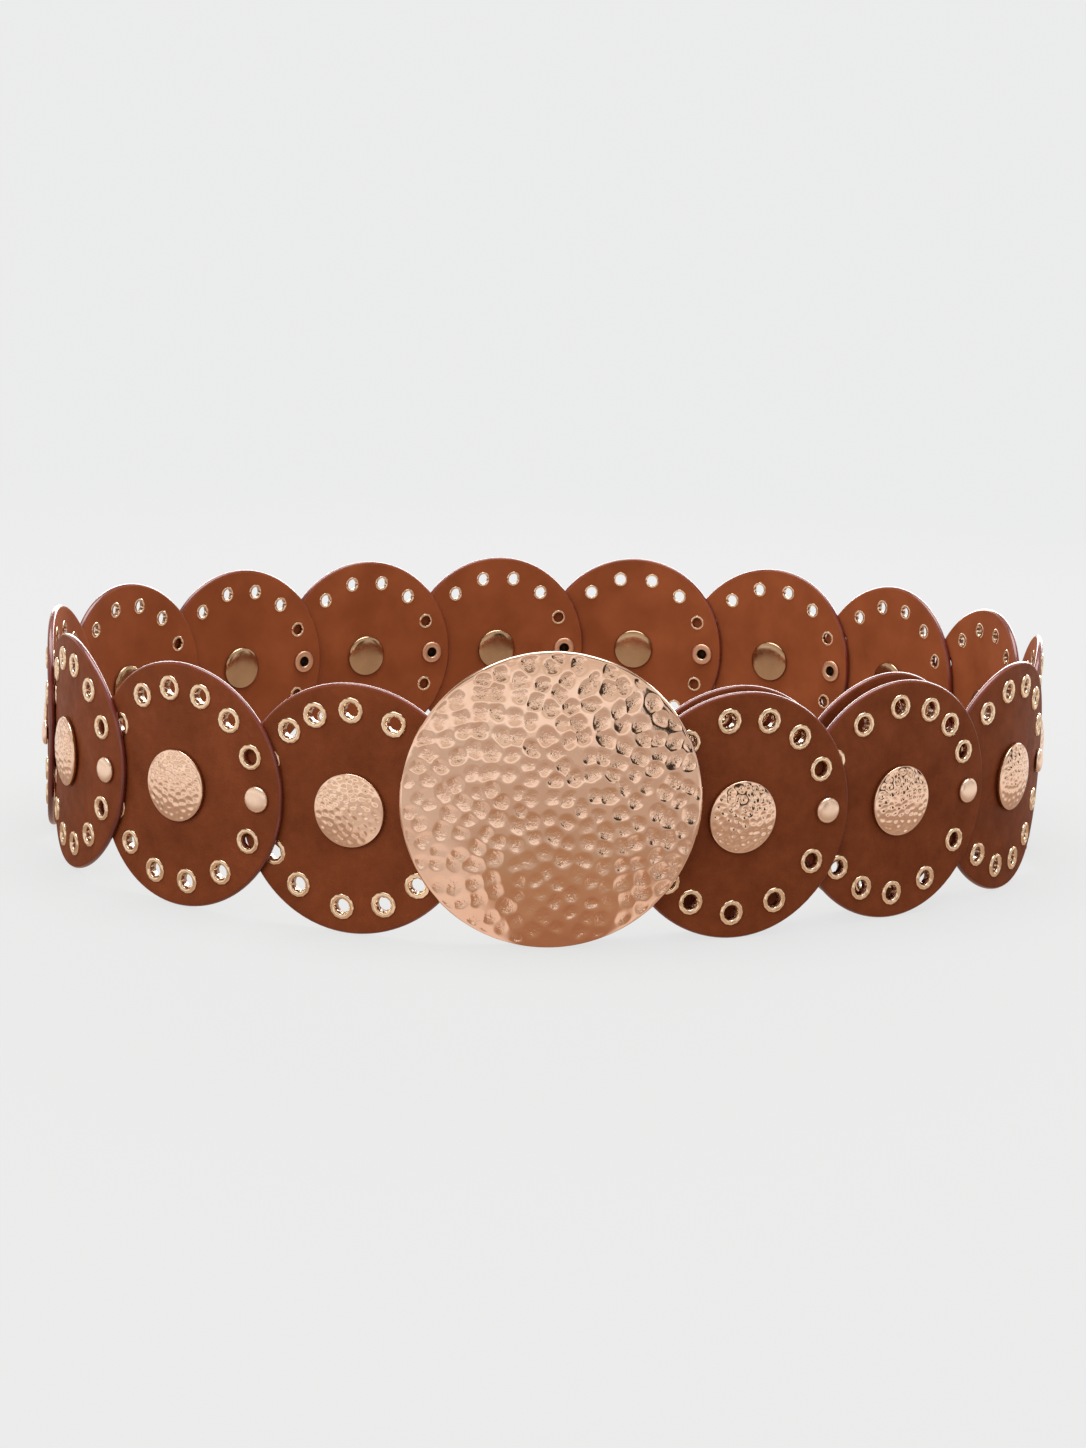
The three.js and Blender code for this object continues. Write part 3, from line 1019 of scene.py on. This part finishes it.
def add_mirrored_tint(tree, place, distance):
    """Front tints in the wedge, left or right ones beside it, and outer ones where the studs look."""
    turn = add_turn(tree, place)
    to_right = add_math(tree, "GREATER_THAN", turn, wedge_turn)
    sides = add_blend(tree, to_right, add_reach_ramp(tree, distance, left_tints),
                      add_reach_ramp(tree, distance, right_tints))
    near = add_blend(tree, add_beyond(tree, turn, wedge_turn, wedge_half),
                     add_reach_ramp(tree, distance, front_tints), sides)
    return add_blend(tree, add_beyond(tree, turn, 0, outer_half), near,
                     add_reach_ramp(tree, distance, outer_tints))


print("mirrored tints reach", mirrored_reach, "m")

# %% [markdown]
# The floor itself is a wide round sheet that fades out with distance, so no line shows where it ends. It
# glows in the background's own grey, which keeps it even and leaves only a trace of the belt's shadow.
# Mirrors see the tints instead, and leather is lit by only about half of them, since they stand for
# mirrors.

# %% Floor
backdrop_grey = (0.83, 0.835, 0.835, 1)
floor_radius = 4.0
floor_sides = 96
floor_fade = (0.3, 1.2)
floor_glow = 0.85
floor_paint = (0.5, 0.5, 0.5, 1)
scattered_share = 0.55


def add_shader_mix(tree, factor, first, second):
    """The first shader where the factor is 0 and the second where it is 1."""
    return add_node(tree, "ShaderNodeMixShader", {0: factor, 1: first, 2: second}).outputs["Shader"]


def make_floor_finish():
    material, tree, place = start_material("floor")
    distance = add_node(tree, "ShaderNodeVectorMath", {0: place}, operation="LENGTH").outputs["Value"]
    fade = add_range(tree, distance, *floor_fade, "SMOOTHSTEP")
    clear = add_node(tree, "ShaderNodeBsdfTransparent").outputs["BSDF"]
    paint = add_node(tree, "ShaderNodeBsdfDiffuse", Color=floor_paint).outputs["BSDF"]
    glow = add_node(tree, "ShaderNodeEmission", Color=backdrop_grey).outputs["Emission"]
    even = add_shader_mix(tree, floor_glow, paint, glow)
    path = add_node(tree, "ShaderNodeLightPath").outputs
    inputs = {"Value": path["Is Diffuse Ray"], "To Min": 1.0, "To Max": scattered_share}
    strength = add_node(tree, "ShaderNodeMapRange", inputs).outputs["Result"]
    # Painted reflection: every ray but the camera's sees the floor glow in the painted tints, with their
    # painted shadows.
    inputs = {"Color": add_mirrored_tint(tree, place, distance), "Strength": strength}
    mirrored = add_node(tree, "ShaderNodeEmission", inputs).outputs["Emission"]
    surface = add_shader_mix(tree, path["Is Camera Ray"], mirrored, even)
    add_node(tree, "ShaderNodeOutputMaterial", {"Surface": add_shader_mix(tree, fade, surface, clear)})
    return material


def make_floor():
    bm = bmesh.new()
    bmesh.ops.create_circle(bm, cap_ends=True, segments=floor_sides, radius=floor_radius)
    mesh = bpy.data.meshes.new("floor")
    bm.to_mesh(mesh)
    bm.free()
    mesh.materials.append(make_floor_finish())
    floor = bpy.data.objects.new("floor", mesh)
    bpy.context.scene.collection.objects.link(floor)


make_floor()
print("floor radius", floor_radius, "m")

# %% [markdown]
# Polished metal shows its surroundings, so the light is planned as much for what it looks like as for what
# it lights. A wide soft light hangs above and a low one behind draws the bright line on the discs' top
# edges. Another stands in front on the left and is hidden from mirrors, so it puts no hard spot in the
# hammered metal. A light's power grows with its area, so each is given by its radiance instead.

# %% Light
def add_softbox(name, location, size, radiance, mirrored=True):
    data = bpy.data.lights.new(name, "AREA")
    data.shape = "RECTANGLE"
    data.size, data.size_y = size
    data.energy = radiance * math.pi * size[0] * size[1]
    light = bpy.data.objects.new(name, data)
    light.location = location
    light.visible_camera = False
    light.visible_glossy = mirrored
    away = Vector(location) - camera_target
    light.rotation_euler = away.to_track_quat("Z", "Y").to_euler()
    bpy.context.scene.collection.objects.link(light)


add_softbox("overhead", location=(0.0, 0.05, 1.5), size=(1.7, 0.8), radiance=5.0)
add_softbox("front_left", location=(-0.6, -1.3, 1.0), size=(1.2, 0.8), radiance=2.4, mirrored=False)
add_softbox("behind", location=(0.2, 1.6, 0.6), size=(2.4, 0.7), radiance=6.0)
print("lights:", len(bpy.data.lights))

# %% [markdown]
# The world is a bright studio above eye level and a brown one below it, because that edge, bent by every
# dent, is what makes hammered metal look hammered. High up it has one brown band more, for the dents'
# upper sides. Three small dark cards on the right add the near-black glints. The camera itself sees a flat
# pale grey. Each stop below is the height of a direction, from -1 straight down to 1 straight up, and its
# colour.

# %% Surroundings
surroundings = [
    (-1.0, (0.5, 0.36, 0.26)), (-0.3, (0.58, 0.47, 0.38)), (0.0, (0.64, 0.56, 0.49)),
    (0.05, (0.86, 0.78, 0.72)), (0.12, (1.10, 1.04, 1.00)), (0.24, (1.02, 0.93, 0.85)),
    (0.34, (0.74, 0.62, 0.52)), (0.45, (0.8, 0.7, 0.6)), (0.56, (0.9, 0.84, 0.78)),
    (0.63, (0.27, 0.19, 0.12)), (0.74, (0.27, 0.19, 0.12)), (0.82, (0.98, 0.95, 0.92)),
    (1.0, (1.0, 1.0, 1.0)),
]
dark_cards = [(44, 10, 9, 12), (76, 12, 6, 9), (100, 9, 6, 9)]
card_colour = (0.04, 0.03, 0.02, 1)


def add_dark_card(tree, direction, card):
    """1 within the core and 0 beyond the edge. A card is azimuth, rise, core and edge, in degrees."""
    azimuth, rise, core, edge = [math.radians(value) for value in card]
    flat = math.cos(rise)
    towards = (flat * math.sin(azimuth), -flat * math.cos(azimuth), math.sin(rise))
    nearness = add_node(tree, "ShaderNodeVectorMath", {0: direction, 1: towards}, operation="DOT_PRODUCT")
    return add_range(tree, nearness.outputs["Value"], math.cos(edge), math.cos(core))


def make_world():
    world = bpy.data.worlds.new("studio")
    world.use_nodes = True
    tree = world.node_tree
    tree.nodes.clear()
    direction = add_node(tree, "ShaderNodeTexCoord").outputs["Generated"]
    height = add_node(tree, "ShaderNodeSeparateXYZ", {"Vector": direction}).outputs["Z"]
    share = add_range(tree, height, -1, 1)
    sky = add_ramp(tree, share, *[((z + 1) / 2, tint) for z, tint in surroundings])
    shade = add_dark_card(tree, direction, dark_cards[0])
    for row in dark_cards[1:]:
        shade = add_math(tree, "MAXIMUM", shade, add_dark_card(tree, direction, row))
    studio, card, seen = [add_node(tree, "ShaderNodeBackground", {"Color": colour}).outputs["Background"]
                          for colour in (sky, card_colour, backdrop_grey)]
    around = add_shader_mix(tree, shade, studio, card)
    in_view = add_node(tree, "ShaderNodeLightPath").outputs["Is Camera Ray"]
    add_node(tree, "ShaderNodeOutputWorld", {"Surface": add_shader_mix(tree, in_view, around, seen)})
    bpy.context.scene.world = world


make_world()
print("surroundings:", len(surroundings), "colours and", len(dark_cards), "dark cards")

# %% [markdown]
# Last, the scene is updated, and the pieces and their faces are counted.

bpy.context.view_layer.update()
print("pieces:", len(pieces), "faces:", sum(len(piece.data.polygons) for piece in pieces))
